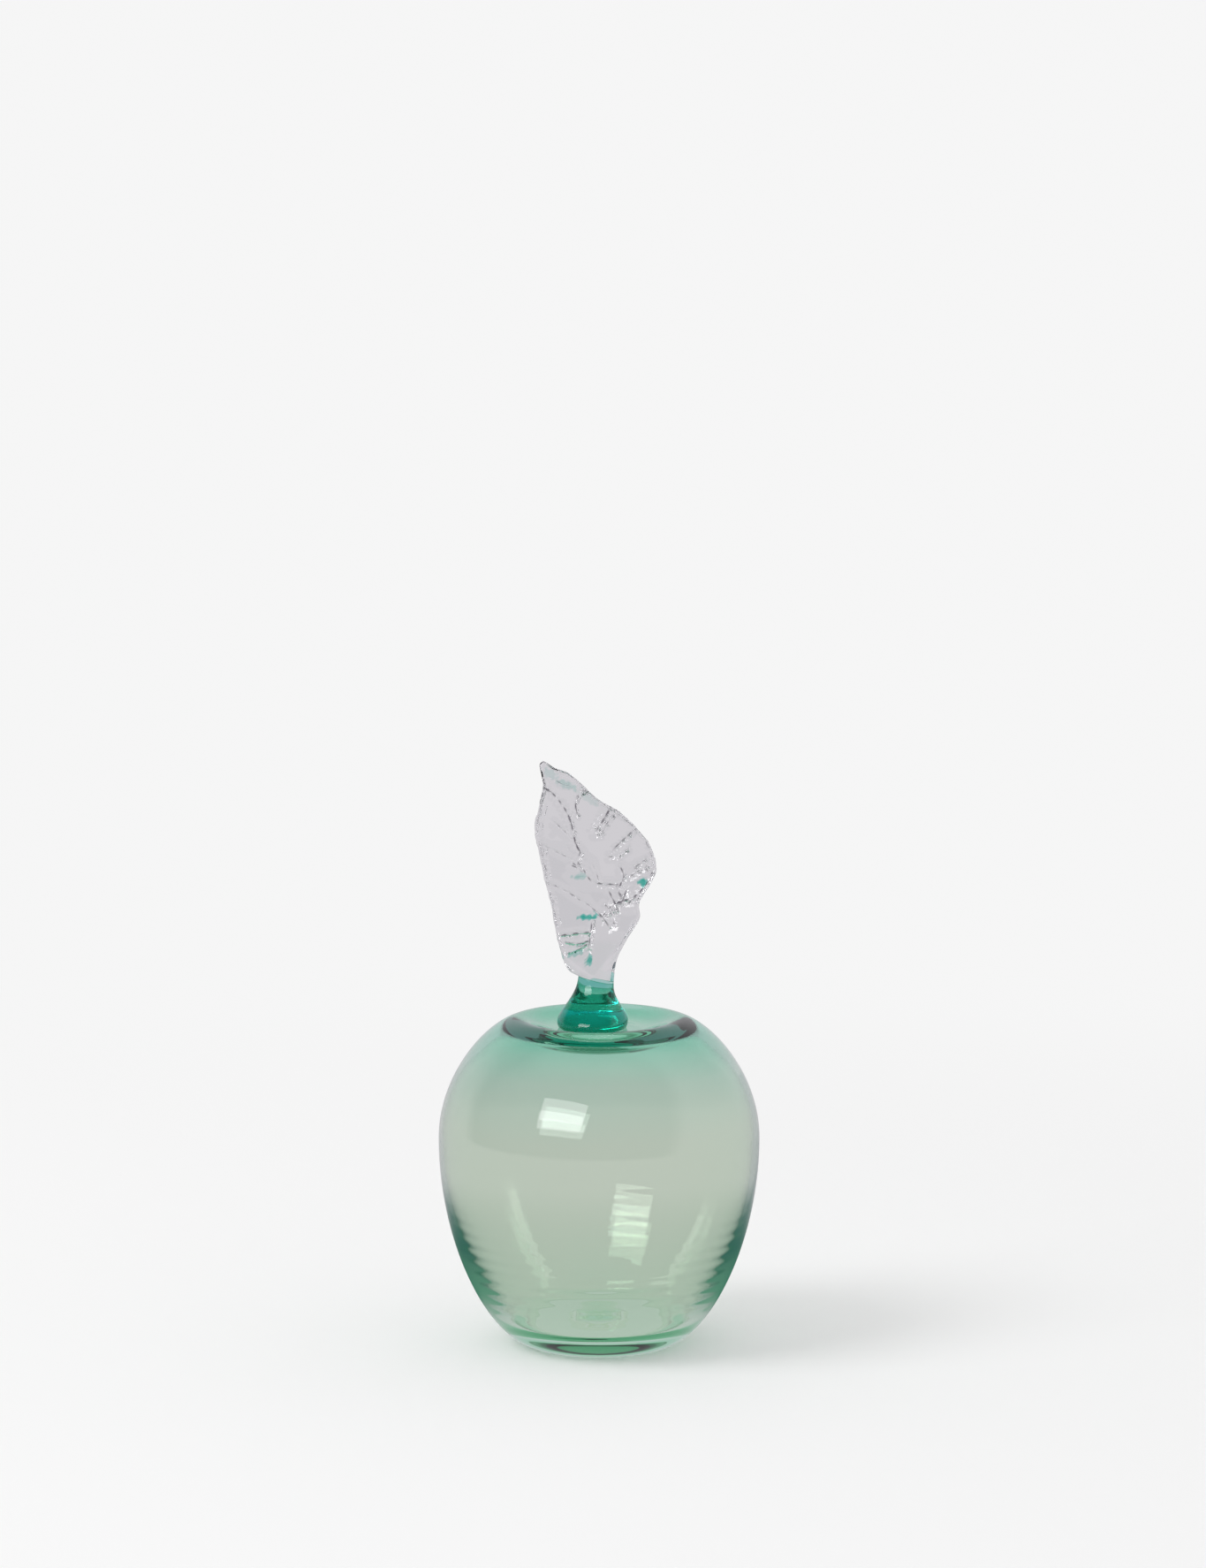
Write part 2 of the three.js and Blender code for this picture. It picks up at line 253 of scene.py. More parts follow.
# Studio, in metres. Distances on the floor are counted from the apple's axis.
PAPER = (0.63, 0.615, 0.64)
WHITE = (0.92, 0.92, 0.92)
AMBIENT = (0.82, 0.82, 0.82)
THROUGH_GLASS = (2.2, 1.8, 2.1)
ROOM = (0.08, 0.115, 0.135)
ROOM_SIDE = (-0.4, -0.8, 0.45)
ROOM_EDGE = (0.0, 0.3)
STRIP = (2.8, 2.8, 2.8)
STRIP_AZIMUTHS = (-103, 78)
STRIP_LEVEL = 0.84
STRIP_RISE = 0.545
STRIP_ENDS = (0.9, 0.96)
STRIP_HALF_WIDTH = 0.07
# Painted shade for the glass's lower edges: a dark teal ring on the floor, seen only by light that has turned
# once in the glass
EDGE_SHADE_GROUND = (0.045, 0.15, 0.11)
EDGE_SHADE_BEGINS = (0.03, 0.055)
EDGE_SHADE_ENDS = (0.2, 0.08)
FLOOR_FADE = (0.2, 0.6)
FLOOR_R = 1.2
FLOOR_Z = -0.0001
FLOOR_CORNERS = 64
LAMP_AIM = (0, 0, 0.06)
LAMP_DISTANCE = 3.0
FAR_SIDE_PASSES = 3.5
HALF_COUNT = 0.5

# Camera, in millimetres and degrees
CAMERA_PLACE = (1.1, -1470.8, 362.9)
CAMERA_PITCH = 7.99
CAMERA_ANGLE = 16.487


def bezier(p0, p1, p2, p3, count):
    """Points of a cubic curve, without its first one."""
    t = np.linspace(0, 1, count + 1)[1:, None]
    p0, p1, p2, p3 = (np.array(p, float) for p in (p0, p1, p2, p3))
    return (1 - t) ** 3 * p0 + 3 * (1 - t) ** 2 * t * p1 + 3 * (1 - t) * t * t * p2 + t ** 3 * p3


def line(a, b, count):
    """Points of a straight stretch, without its first one."""
    t = np.linspace(0, 1, count + 1)[1:, None]
    return np.array(a, float) * (1 - t) + np.array(b, float) * t


def smoothstep(t, low, high):
    """Smooth rise from 0 at low to 1 at high."""
    u = np.clip((t - low) / (high - low), 0, 1)
    return u * u * (3 - 2 * u)


def turns(sides):
    """Angles of the corners of a regular polygon."""
    return np.arange(sides) * 2 * math.pi / sides


def closed_skin(start, rings, end):
    """Vertices and faces of the skin through a stack of rings, from one end point to the other."""
    count, sides = rings.shape[:2]
    verts = np.concatenate([[start], rings.reshape(-1, 3), [end]])
    last = len(verts) - 1
    faces = []
    for i in range(sides):
        j = (i + 1) % sides
        faces.append((0, 1 + j, 1 + i))
        faces.append((last - sides + i, last - sides + j, last))
        for k in range(count - 1):
            a = 1 + k * sides
            faces.append((a + i, a + j, a + sides + j, a + sides + i))
    return verts, faces


def make_piece(name, skins, material, fused):
    """Mesh object of one or more closed skins in millimetres.

    fused gives, from the face centres, how far each face is one glass with its neighbour, from 0 to 1.
    """
    verts = np.concatenate([v for v, _ in skins]) * MM
    faces = []
    offset = 0
    for v, f in skins:
        faces.extend(tuple(i + offset for i in face) for face in f)
        offset += len(v)
    mesh = bpy.data.meshes.new(name)
    mesh.from_pydata(verts.tolist(), [], faces)
    mesh.polygons.foreach_set("use_smooth", [True] * len(faces))
    centres = np.zeros(len(faces) * 3)
    mesh.polygons.foreach_get("center", centres)
    joined = fused(centres.reshape(-1, 3) / MM)
    joint = mesh.attributes.new("fused", "FLOAT", "FACE")
    joint.data.foreach_set("value", np.asarray(joined, dtype=np.float32))
    mesh.materials.append(material)
    mesh.update()
    obj = bpy.data.objects.new(name, mesh)
    bpy.context.scene.collection.objects.link(obj)
    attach(obj, "root")
    return obj


def ring_stack(profile, sides, wobble=None):
    """Rings about Z through the profile's (r, z) points. wobble gives the change of radius at each point."""
    turn = turns(sides)
    r = np.repeat(profile[:, :1], sides, axis=1)
    z = np.repeat(profile[:, 1:], sides, axis=1)
    if wobble is not None:
        r = r + wobble(r, z, turn[None, :])
    return np.stack([r * np.cos(turn), r * np.sin(turn), z], axis=2)


class Graph:
    """Node tree of a material or world, filled by short calls that return the new node's output."""

    def __init__(self, owner):
        owner.use_nodes = True
        self.nodes = owner.node_tree.nodes
        self.links = owner.node_tree.links

    def add(self, kind, **settings):
        """New node itself, with its settings."""
        node = self.nodes.new("ShaderNode" + kind)
        for name, value in settings.items():
            setattr(node, name, value)
        return node

    def feed(self, socket, value):
        """Link an output to the socket, or set the socket's own number, vector or colour."""
        if isinstance(value, bpy.types.NodeSocket):
            self.links.new(value, socket)
        elif socket.type == "RGBA":
            socket.default_value = (*value, 1)
        else:
            socket.default_value = value

    def maths(self, operation, *values, clamp=False):
        node = self.add("Math", operation=operation, use_clamp=clamp)
        for socket, value in zip(node.inputs, values):
            self.feed(socket, value)
        return node.outputs["Value"]

    def measure(self, operation, *vectors):
        """Number made of one or two vectors."""
        node = self.add("VectorMath", operation=operation)
        for socket, value in zip(node.inputs, vectors):
            self.feed(socket, value)
        return node.outputs["Value"]

    def ranged(self, value, low, high, to_low=0.0, to_high=1.0, soft=False):
        """Value carried from one range to another, with soft ends if wanted."""
        node = self.add("MapRange", interpolation_type="SMOOTHSTEP" if soft else "LINEAR")
        self.feed(node.inputs["Value"], value)
        self.feed(node.inputs["From Min"], low)
        self.feed(node.inputs["From Max"], high)
        self.feed(node.inputs["To Min"], to_low)
        self.feed(node.inputs["To Max"], to_high)
        return node.outputs["Result"]

    def mixed(self, factor, first, second, blend="MIX"):
        """Mix of two colours."""
        node = self.add("Mix", data_type="RGBA", blend_type=blend)
        self.feed(node.inputs["Factor"], factor)
        self.feed(node.inputs["A"], first)
        self.feed(node.inputs["B"], second)
        return node.outputs["Result"]

    def ramp(self, value, stops):
        """Colour along the value, through stops of (position, colour)."""
        node = self.add("ValToRGB")
        elements = node.color_ramp.elements
        while len(elements) < len(stops):
            elements.new(0.5)
        for element, (position, colour) in zip(elements, stops):
            element.position = position
            element.color = (*colour, 1.0)
        self.feed(node.inputs["Fac"], value)
        return node.outputs["Color"]

    def noise(self, place, scale, detail):
        node = self.add("TexNoise")
        self.feed(node.inputs["Vector"], place)
        self.feed(node.inputs["Scale"], scale)
        self.feed(node.inputs["Detail"], detail)
        return node.outputs["Fac"]

    def emission(self, colour):
        node = self.add("Emission")
        self.feed(node.inputs["Color"], colour)
        return node.outputs["Emission"]

    def shaded(self, factor, first, second):
        """Mix of two shaders."""
        node = self.add("MixShader")
        for socket, value in zip(node.inputs, (factor, first, second)):
            self.feed(socket, value)
        return node.outputs["Shader"]


# Glass materials
def glass(name, span, stops, deep, turns_inside, tint, density, ripple=0.0, polish=0.0, stained_and_shaded=False):
    """Clear glass: colour along Z, faint smears and hand-made ripple, absorption in its depth.

    Light that has turned turns_inside times in the glass leaves it in the deep colour, a painted shade for
    turned light: mostly dark in the body, teal in the stem, near clear in the leaf. High in the span it may
    turn once more, but not in the ring beside the stem's foot. Stained glass takes on the mesh's stain and
    painted crease shade.
    """
    material = bpy.data.materials.new(name)
    graph = Graph(material)
    shader = graph.nodes["Principled BSDF"]
    graph.feed(shader.inputs["Transmission Weight"], 1.0)
    graph.feed(shader.inputs["Coat Weight"], polish)
    graph.feed(shader.inputs["Coat Roughness"], 0.0)
    place = graph.add("TexCoord").outputs["Object"]
    axis = graph.add("SeparateXYZ")
    graph.feed(axis.inputs["Vector"], place)
    drift = graph.noise(place, DRIFT_SCALE, 2.0)
    drifted = graph.maths("MULTIPLY_ADD", drift, COLOUR_DRIFT * MM, axis.outputs["Z"])
    height = graph.ranged(drifted, span[0] * MM, span[1] * MM)

    film = graph.noise(place, FILM_SCALE, 6.0)
    graph.feed(shader.inputs["Roughness"], graph.ranged(film, *FILM_RANGE, 0.0, FILM_ROUGHNESS))
    bump = graph.add("Bump")
    graph.feed(bump.inputs["Strength"], 1.0)
    graph.feed(bump.inputs["Distance"], ripple * MM)
    graph.feed(bump.inputs["Height"], graph.noise(place, RIPPLE_SCALE, 1.0))
    graph.feed(shader.inputs["Normal"], bump.outputs["Normal"])

    from_foot = graph.measure("DISTANCE", place, (FOOT_X * MM, 0, DIMPLE_Z * MM))
    beside_foot = graph.maths("COMPARE", from_foot, FOOT_RING_R * MM, FOOT_RING_REACH * MM)
    shoulder = graph.ranged(height, *SHOULDER_SHARES)
    once_more = graph.maths("SUBTRACT", shoulder, beside_foot, clamp=True)
    limit = graph.maths("ADD", once_more, turns_inside - HALF_COUNT)
    turned = graph.maths("GREATER_THAN", graph.add("LightPath").outputs["Glossy Depth"], limit)
    joint = graph.add("Attribute", attribute_name="fused").outputs["Fac"]
    unbent = graph.maths("MAXIMUM", turned, joint)
    graph.feed(shader.inputs["IOR"], graph.ranged(unbent, 0.0, 1.0, GLASS_IOR, JOINED_IOR))

    colour = graph.ramp(height, stops)
    # The leaf's stain attribute holds its teal stain and the painted shade of its creases
    if stained_and_shaded:
        stain_and_shade = graph.add("Attribute", attribute_name="stain_and_shade").outputs["Color"]
        colour = graph.mixed(1.0, colour, stain_and_shade, "MULTIPLY")
    colour = graph.mixed(graph.maths("GREATER_THAN", joint, FULL_JOINT), colour, (1, 1, 1))
    # Painted shade: light that has turned inside takes the deep colour instead of the glass's own
    colour = graph.mixed(turned, colour, graph.ramp(height, deep))
    graph.feed(shader.inputs["Base Color"], colour)
    depth = graph.add("VolumeAbsorption")
    graph.feed(depth.inputs["Color"], tint)
    graph.feed(depth.inputs["Density"], density)
    graph.feed(graph.nodes["Material Output"].inputs["Volume"], depth.outputs["Volume"])
    return material


GREEN = glass(
    "blown_green_glass",
    span=(0, 92),
    stops=[
        (0.0, (0.885, 0.95, 0.84)), (0.3, (0.905, 0.952, 0.868)), (0.5, (0.908, 0.957, 0.868)),
        (0.72, (0.907, 0.962, 0.88)), (0.88, (0.825, 0.965, 0.885)), (0.96, (0.62, 0.95, 0.825)),
        (1.0, (0.52, 0.94, 0.805)),
    ],
    # painted shade: the colour light leaves the body's wall in after turning inside it, mostly near black
    deep=[
        (0.0, (0.36, 0.7, 0.46)), (0.14, (0.07, 0.28, 0.15)), (0.3, (0.006, 0.05, 0.035)),
        (0.6, (0.006, 0.05, 0.035)), (1.0, (0.02, 0.08, 0.085)),
    ],
    turns_inside=3,
    tint=(0.0, 0.78, 0.45),
    density=24.0,
    ripple=0.02,
)
TEAL = glass(
    "teal_glass",
    span=(88, 102),
    stops=[
        (0.0, (0.002, 0.2, 0.08)), (0.28, (0.003, 0.29, 0.16)), (0.45, (0.004, 0.47, 0.35)),
        (0.58, (0.01, 0.75, 0.63)), (0.64, (0.8, 0.93, 0.89)), (0.83, (0.8, 0.93, 0.89)),
        (0.93, (0.34, 0.72, 0.64)), (1.0, (0.28, 0.69, 0.61)),
    ],
    deep=[(0.0, STEM_TURNED_SHADE), (1.0, STEM_TURNED_SHADE)],
    turns_inside=2,
    tint=(0.35, 0.9, 0.89),
    density=60.0,
)
CLEAR = glass(
    "clear_glass",
    span=(102, 162),
    stops=[(0.0, (0.985, 0.983, 0.99)), (0.25, (0.99, 0.988, 0.995)), (1.0, (0.99, 0.988, 0.995))],
    deep=[(0.0, LEAF_TURNED_COLOUR), (1.0, LEAF_TURNED_COLOUR)],
    turns_inside=4,
    tint=(0.85, 0.95, 0.92),
    density=3.0,
    ripple=0.02,
    polish=0.4,
    stained_and_shaded=True,
)


# Blown body
def outer_wobble(r, z, turn):
    """Hand-made departure from the round, never outward of the true radius."""
    wave = np.sin(2 * turn + 0.7 + z / 31) + 0.6 * np.sin(3 * turn - 1.1 - z / 23)
    return OUTER_WOBBLE * (wave - 1.6) * smoothstep(r, *OUTER_WOBBLE_FADE_R)


def bubble_wobble(r, z, turn):
    """Uneven wall, tool rings low in the bubble, its oval top and the crinkled edge of the knob."""
    wave = np.sin(2 * turn - 0.4 - z / 27) + 0.5 * np.sin(3 * turn + 2.1 + z / 19)
    rings = np.sin(2 * math.pi * z / RING_PITCH + 0.5 * np.sin(2 * turn + 1.0))
    rings = rings + SLOW_RING_SHARE * np.sin(2 * math.pi * z / SLOW_RING_PITCH + turn)
    window = smoothstep(z, *RINGS_BEGIN_Z) * (1 - smoothstep(z, *RINGS_END_Z))
    oval = -BUBBLE_OVAL * np.cos(2 * turn) * smoothstep(z, *BUBBLE_OVAL_FADE_Z)
    at_knob = np.exp(-(r - KNOB_R) ** 2) * (z < EQUATOR_Z)
    crinkle = KNOB_CRINKLE * np.sin(7 * turn + 1) * np.sin(4 * turn) * at_knob
    uneven = WALL_WOBBLE * wave + RING_DEPTH * rings * window + oval
    return uneven * smoothstep(r, *WALL_WOBBLE_FADE_R) + crinkle


def body_skins():
    """Outer skin from the pontil hollow up to the dimple, and the bubble from its roof down to its floor."""
    hollow = (PONTIL_FLOOR_R, PONTIL_DEPTH)
    bevel = (PONTIL_FLOOR_R + PONTIL_BEVEL, 0)
    base = (BASE_FLAT_R, 0)
    equator = (BODY_R, EQUATOR_Z)
    crest = (CREST_R, CREST_Z)
    dimple = (DIMPLE_R, DIMPLE_Z)
    outer = np.concatenate([
        line((0, PONTIL_DEPTH), hollow, 12),
        line(hollow, bevel, 4),
        line(bevel, base, 12),
        bezier(base, (BASE_FLAT_R + BASE_PULL, 0), (BODY_R, EQUATOR_Z - FLANK_PULL), equator, 90),
        bezier(equator, (BODY_R, EQUATOR_Z + SHOULDER_PULL), (CREST_R + CREST_PULL, CREST_Z), crest, 80),
        bezier(crest, (CREST_R - DIMPLE_PULL, CREST_Z), (DIMPLE_R + DIMPLE_PULL, DIMPLE_Z), dimple, 24),
        line(dimple, (DIMPLE_MIDDLE_R, DIMPLE_Z), 36),
    ])
    roof = (ROOF_R, ROOF_Z)
    rim = (BUBBLE_CREST_R - BUBBLE_RIM_PULL, BUBBLE_CREST_Z)
    inner_crest = (BUBBLE_CREST_R, BUBBLE_CREST_Z)
    over_crest = (BUBBLE_CREST_R + BUBBLE_CREST_PULL, BUBBLE_CREST_Z)
    shoulder = (BUBBLE_R, EQUATOR_Z + BUBBLE_SHOULDER_PULL)
    inner_equator = (BUBBLE_R, EQUATOR_Z)
    flank = (BUBBLE_R, EQUATOR_Z - BUBBLE_FLANK_PULL)
    corner_r, corner_z = BUBBLE_CORNER
    above_corner = (corner_r + CORNER_PULL_R, corner_z + CORNER_PULL_Z)
    below_corner = (corner_r - CORNER_EASE * CORNER_PULL_R, corner_z - CORNER_EASE * CORNER_PULL_Z)
    floor_edge = (BUBBLE_FLOOR_R + FLOOR_PULL, BUBBLE_FLOOR_Z)
    floor = (BUBBLE_FLOOR_R, BUBBLE_FLOOR_Z)
    middle = (FLOOR_MIDDLE_R, BUBBLE_FLOOR_Z + FLOOR_RISE)
    low_dome, high_dome = zip(FLOOR_DOME_R, (BUBBLE_FLOOR_Z, middle[1]))
    bubble = np.concatenate([
        line((0, ROOF_Z), roof, 12),
        bezier(roof, (ROOF_R + ROOF_PULL, ROOF_Z), rim, inner_crest, 30),
        bezier(inner_crest, over_crest, shoulder, inner_equator, 70),
        bezier(inner_equator, flank, above_corner, BUBBLE_CORNER, 130),
        bezier(BUBBLE_CORNER, below_corner, floor_edge, floor, 20),
        bezier(floor, low_dome, high_dome, middle, 60),
    ])
    on_floor = bubble[:, 1] < corner_z
    bubble[:, 1] += KNOB_RISE * on_floor * np.sqrt(np.clip(1 - (bubble[:, 0] / KNOB_R) ** 2, 0, 1))
    outer_rings = ring_stack(outer, BODY_SIDES, outer_wobble)
    bubble_rings = ring_stack(bubble, BODY_SIDES, bubble_wobble)
    return [
        closed_skin((0, 0, PONTIL_DEPTH), outer_rings, (0, 0, DIMPLE_Z)),
        closed_skin((0, 0, ROOF_Z), bubble_rings, (0, 0, middle[1] + KNOB_RISE)),
    ]


def body_joints(p):
    """Joined under the stem's foot and on the table, with a faint scar round the pontil hollow."""
    radius = np.hypot(p[:, 0], p[:, 1])
    from_foot = np.hypot(p[:, 0] - FOOT_X, p[:, 1])
    under_foot = (from_foot < FOOT_R - FOOT_JOINT_INSET) & (p[:, 2] > ROOF_Z - ROOF_SLACK)
    on_table = (radius < BASE_FLAT_R - BASE_JOINT_INSET) & (p[:, 2] < PONTIL_DEPTH + HOLLOW_SLACK)
    scar = on_table & (radius > PONTIL_FLOOR_R) & (radius < PONTIL_FLOOR_R + PONTIL_BEVEL)
    return np.where(scar, SCAR_FUSION, under_foot | on_table)


body = make_piece("blown_body", body_skins(), GREEN, body_joints)
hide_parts("apple_body")


# Stem
def stem_skin():
    """Flared foot sunk a little into the dimple, and a neck that leans, flattens and ends on a slant."""
    low = DIMPLE_Z - SINK
    edge = (FOOT_R, FOOT_EDGE_Z)
    under_edge = (FOOT_R, FOOT_EDGE_Z - FOOT_EDGE_PULL)
    sole = (FOOT_R - FOOT_ROUND, low)
    sole_end = (FOOT_R - SOLE_EASE, low + SOLE_LIFT)
    neck = (NECK_R, NECK_Z)
    profile = np.concatenate([
        line((0, low), sole, 10),
        bezier(sole, sole_end, under_edge, edge, 14),
        bezier(edge, (FOOT_R, FOOT_EDGE_Z + FOOT_FLARE), (NECK_R, NECK_Z - NECK_FLARE), neck, 60),
        line(neck, (CAP_MIDDLE_R, NECK_Z), 8),
    ])
    rise = np.clip((profile[:, 1] - FOOT_EDGE_Z) / (NECK_Z - FOOT_EDGE_Z), 0, 1)
    turn = turns(ROUND_SIDES)
    x = profile[:, :1] * np.cos(turn)
    rings = np.stack([
        x + (FOOT_X + (NECK_X - FOOT_X) * rise)[:, None],
        profile[:, :1] * np.sin(turn) * (1 + (NECK_FLAT - 1) * rise)[:, None],
        profile[:, 1:] + (NECK_SLANT * rise * rise)[:, None] * x,
    ], axis=2)
    return closed_skin((FOOT_X, 0, low), rings, (NECK_X, 0, NECK_Z))


def neck_plane(p):
    """Height of the slanted joint of stem and leaf at each point."""
    return NECK_Z + NECK_SLANT * (p[:, 0] - NECK_X)


def stem_joints(p):
    """The stem is joined to the leaf, and the back of its neck bends light less."""
    under_leaf = (p[:, 2] > neck_plane(p) - NECK_SLACK) & (p[:, 2] > NECK_Z - NECK_JOINT_DEPTH)
    back_of_neck = smoothstep(p[:, 2], *NECK_CLARITY_Z) * (p[:, 1] > 0)
    return np.maximum(under_leaf, NECK_CLARITY * back_of_neck)


stem = make_piece("glass_stem", [stem_skin()], TEAL, stem_joints)
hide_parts("stem")


# Leaf
def on_leaf(points):
    """Points given as shares of the leaf's width and length, as (x, z)."""
    return np.array([(NECK_X + a * LEAF_WIDTH, STALK_Z + b * LEAF_LENGTH) for a, b in points])


def spline(points, count):
    """Smooth path through the points, evenly spaced along its length."""
    padded = np.concatenate([points[:1], points, points[-1:]])
    dense = []
    for i in range(len(points) - 1):
        p0, p1, p2, p3 = padded[i:i + 4]
        v0 = (p2 - p0) / 2
        v1 = (p3 - p1) / 2
        cubic = 2 * p1 - 2 * p2 + v0 + v1
        square = 3 * p2 - 3 * p1 - 2 * v0 - v1
        for t in np.linspace(0, 1, SPLINE_STEPS, endpoint=False):
            dense.append(cubic * t ** 3 + square * t * t + v0 * t + p1)
    dense.append(points[-1])
    dense = np.array(dense)
    length = np.concatenate([[0], np.cumsum(np.hypot(*np.diff(dense, axis=0).T))])
    at = np.linspace(0, length[-1], count + 1)
    return np.stack([np.interp(at, length, dense[:, 0]), np.interp(at, length, dense[:, 1])], axis=1)


def distance_to(path, x, z):
    """Distance from each (x, z) to the polyline through the path's points."""
    best = np.full(x.shape, 1e9)
    for a, b in zip(path[:-1], path[1:]):
        d = b - a
        t = np.clip(((x - a[0]) * d[0] + (z - a[1]) * d[1]) / (d @ d), 0, 1)
        best = np.minimum(best, np.hypot(x - a[0] - t * d[0], z - a[1] - t * d[1]))
    return best


def flat_section(faces, rim):
    """Outline of a flat bar with round rims: place on the flat, then the rim's shares across and through."""
    flat = np.linspace(-1, 1, faces, endpoint=False)
    half_turn = np.linspace(-math.pi / 2, math.pi / 2, rim, endpoint=False)
    place = np.concatenate([flat, np.ones(rim), -flat, -np.ones(rim)])
    across = np.concatenate([np.zeros(faces), np.cos(half_turn), np.zeros(faces), -np.cos(half_turn)])
    through = np.concatenate([-np.ones(faces), np.sin(half_turn), np.ones(faces), -np.sin(half_turn)])
    return place, across, through


def crease_path(points, shift=(0, 0)):
    """Path of a crease on the leaf, as (x, z)."""
    return spline(np.array(points) + (NECK_X, STALK_Z) + shift, CREASE_POINTS)


def crease_depth(x, z, shift=(0, 0)):
    """Depth of the creases at each (x, z), each one broken up along its length."""
    depth = np.zeros(x.shape)
    for number, (points, width, deep) in enumerate(CREASES):
        along = np.sin(2.1 * x + 1.5 * z + 2.1 * number) + np.sin(1.7 * z - 1.9 * x + 1.7 * number)
        strength = CREASE_STRENGTH * deep * (0.7 + 0.3 * along)
        away = distance_to(crease_path(points, shift), x, z) / (CREASE_REACH * width)
        depth = np.maximum(depth, strength * np.clip(1 - away, 0, 1))
    return depth


def trough_depth(x, z):
    """Depth of the soft trough round each crease, a little crumpled."""
    depth = np.zeros(x.shape)
    for points, width, deep in CREASES:
        away = distance_to(crease_path(points), x, z) / (TROUGH_REACH * width)
        depth = np.maximum(depth, deep * np.clip(1 - away, 0, 1) ** 2)
    crumple = np.sin(3.3 * x + 1.9 * z + np.sin(1.3 * z)) * np.sin(2.9 * z - 2.3 * x + np.sin(1.1 * x))
    return TROUGH_STRENGTH * depth * (1 + TROUGH_CRUMPLE * crumple)


def leaf_skin():
    """Flat bar between the leaf's two edges, round at the stalk, with creased faces and crinkled rims."""
    start = NECK_Z - STALK_SINK
    stalk_half = NECK_R * STALK_INSET
    drop = NECK_SLANT * NECK_R
    tip = on_leaf([LEAF_TIP])
    left_foot = [(NECK_X - stalk_half, start - drop)]
    right_foot = [(NECK_X + stalk_half, start + drop)]
    left = spline(np.concatenate([left_foot, on_leaf(LEAF_LEFT), tip]), LEAF_RINGS)[:-1]
    right = spline(np.concatenate([right_foot, on_leaf(LEAF_RIGHT), tip]), LEAF_RINGS)[:-1]
    reach = right - left
    width = np.hypot(reach[:, :1], reach[:, 1:])
    t = np.arange(LEAF_RINGS)[:, None] / LEAF_RINGS
    blade = smoothstep(t, 0, BLADE_FROM)
    ends = smoothstep(t, TIP_FROM, 1)
    thickness = BLADE_THICKNESS * (1 - ends) + TIP_THICKNESS * ends
    half = stalk_half * NECK_FLAT * (1 - blade) + blade * thickness / 2
    half = np.minimum(half, WIDEST_HALF * width)
    rim = width / 2 + (np.minimum(RIM, WIDEST_HALF * width) - width / 2) * smoothstep(t, 0, RIM_FROM)

    place, across, through = (part[None, :] for part in flat_section(FACE_POINTS, RIM_POINTS))
    left_edge = np.sin(71 * t) + 0.5 * np.sin(163 * t + 1.3) + 1.5 * np.sin(31 * t)
    right_edge = np.sin(83 * t + 0.6) + 0.5 * np.sin(177 * t) + 1.5 * np.sin(37 * t + 2)
    pinched = np.where(place < 0, blade, smoothstep(t, *RIGHT_CRINKLE_FROM)) * (1 - ends)
    crinkle = pinched * np.where(place < 0, left_edge, right_edge)
    offset = place * (width / 2 - rim) + across * (rim + EDGE_CRINKLE * (crinkle - 3 * pinched))
    x = (left[:, :1] + right[:, :1]) / 2 + offset * reach[:, :1] / width
    z = (left[:, 1:] + right[:, 1:]) / 2 + offset * reach[:, 1:] / width

    front = np.minimum(crease_depth(x, z) + trough_depth(x, z), FRONT_DEEPEST)
    back = BACK_SHARE * crease_depth(x, z, BACK_SHIFT)
    pillow = PILLOW * np.sin(0.4 * x + 0.2 * z) * np.sin(0.25 * z - 0.35 * x)
    relief = blade * (1 - np.abs(across)) * np.where(through < 0, front + pillow, -back - pillow)
    bow = LEAF_BOW * np.sin(math.pi * t) * blade
    cup = LEAF_CUP * blade * (offset / (width / 2)) ** 2
    waist = half * (1 + RIM_SWELL * np.abs(across) * crinkle)
    forward = LEAF_FORWARD * (half[:1] - half)
    y = bow - forward - cup + waist * through + relief
    tip_point = (tip[0, 0], -forward[-1, 0], tip[0, 1])
    return closed_skin((NECK_X, 0, start), np.stack([x, y, z], axis=2), tip_point)


def leaf_joints(p):
    """The leaf is joined to the stem, and its thin tip bends light less."""
    return np.maximum(p[:, 2] < neck_plane(p), TIP_CLARITY * smoothstep(p[:, 2], *TIP_CLARITY_Z))


def stain_and_shade_leaf(mesh):
    """Colour of each vertex: teal stain in the streaks, and painted shade, dark where a crease is deep."""
    p = np.zeros(len(mesh.vertices) * 3)
    mesh.vertices.foreach_get("co", p)
    p = p.reshape(-1, 3) / MM
    teal = np.zeros(len(p))
    for x, z, half_width, half_height, slope, strength in FLECKS:
        across = p[:, 0] - NECK_X - x
        up = p[:, 2] - STALK_Z - z - slope * across
        ragged = 0.18 * np.sin(3.7 * across + 1.3 * x) + 0.14 * np.sin(5.1 * up - 2.9 * across + z)
        reach = np.hypot(across / half_width, up / half_height) + ragged
        teal = np.maximum(teal, strength * (1 - smoothstep(reach, *FLECK_EDGE)))
    # Painted shade: darker where a crease is deep
    painted_crease_shade = smoothstep(crease_depth(p[:, 0], p[:, 2]), *CREASE_SHADE_DEPTH)[:, None]
    colour = 1 - teal[:, None] * (1 - np.array(FLECK_COLOUR))
    colour = colour * (1 - painted_crease_shade * (1 - np.array(CREASE_SHADE_COLOUR)))
    stain_and_shade = mesh.attributes.new("stain_and_shade", "FLOAT_COLOR", "POINT")
    stain_and_shade.data.foreach_set("color", np.concatenate([colour, np.ones((len(p), 1))], axis=1).ravel())


leaf = make_piece("pressed_leaf", [leaf_skin()], CLEAR, leaf_joints)
stain_and_shade_leaf(leaf.data)
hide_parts("leaf")


